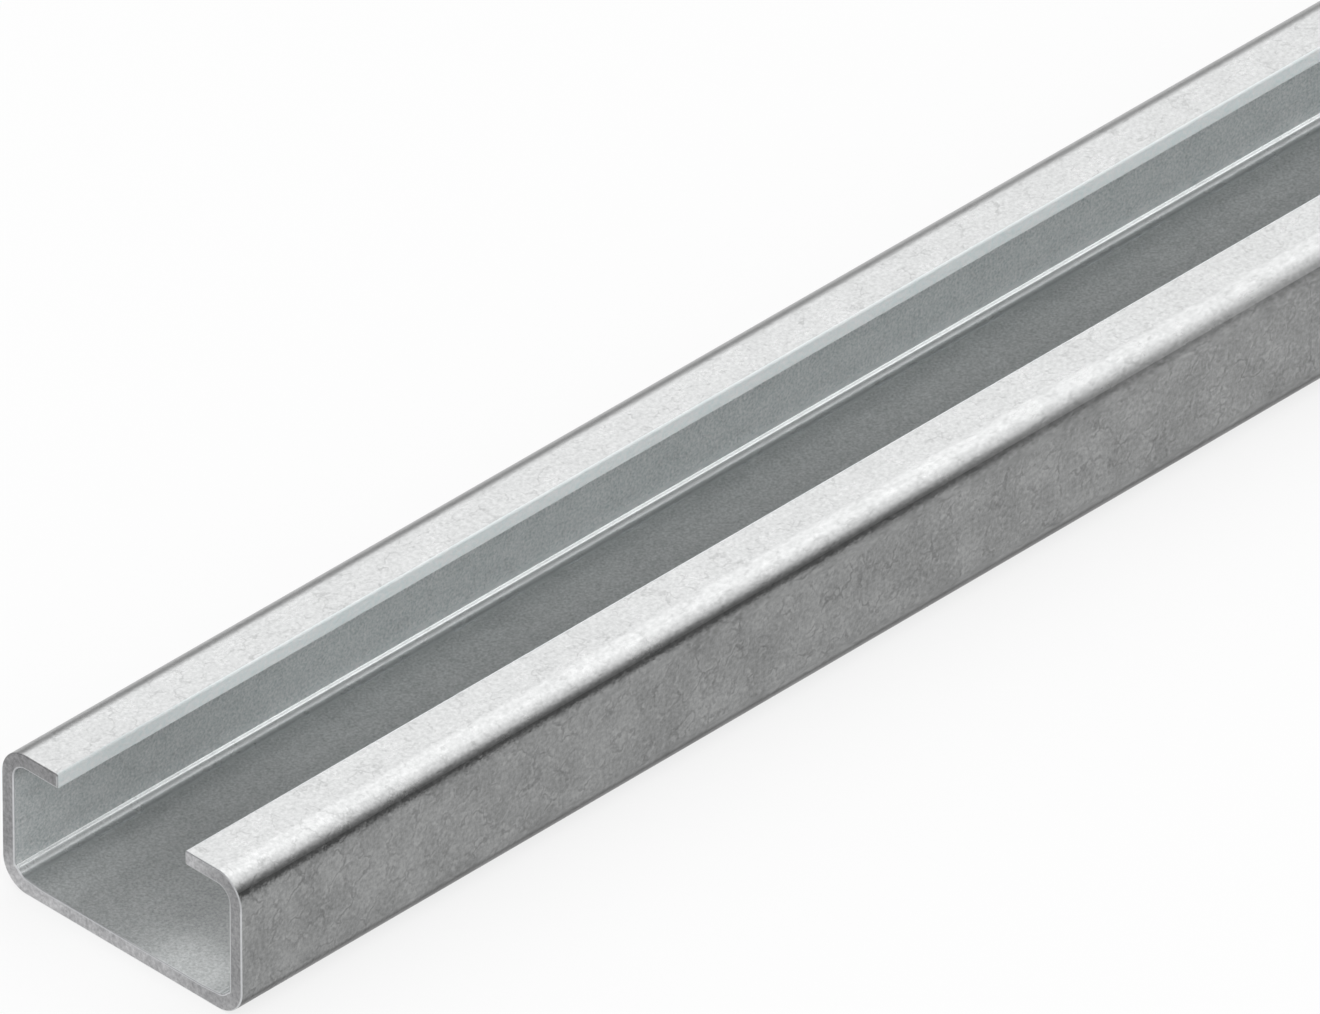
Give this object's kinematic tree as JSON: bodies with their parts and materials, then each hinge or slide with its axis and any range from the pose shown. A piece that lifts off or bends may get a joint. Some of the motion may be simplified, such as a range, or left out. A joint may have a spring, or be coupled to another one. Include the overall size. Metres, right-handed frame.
{
  "type": "c-section channel rail",
  "caption": "Straight folded steel channel with inturned lips and an open slot along its length, which holds sliding nuts or T-head bolts.",
  "frame": {"origin": "middle of the back's outer face, at half length, on the surface that the rail lies on", "axes": "+X along the rail, +Y across it from wall to wall, +Z from the back up to the slot"},
  "size_m": [0.2, 0.03, 0.015],
  "materials": {
    "galvanised_strip": "satin"
  },
  "bodies": {
    "root": {"channel_rail": "galvanised_strip"}
  },
  "joints": []
}
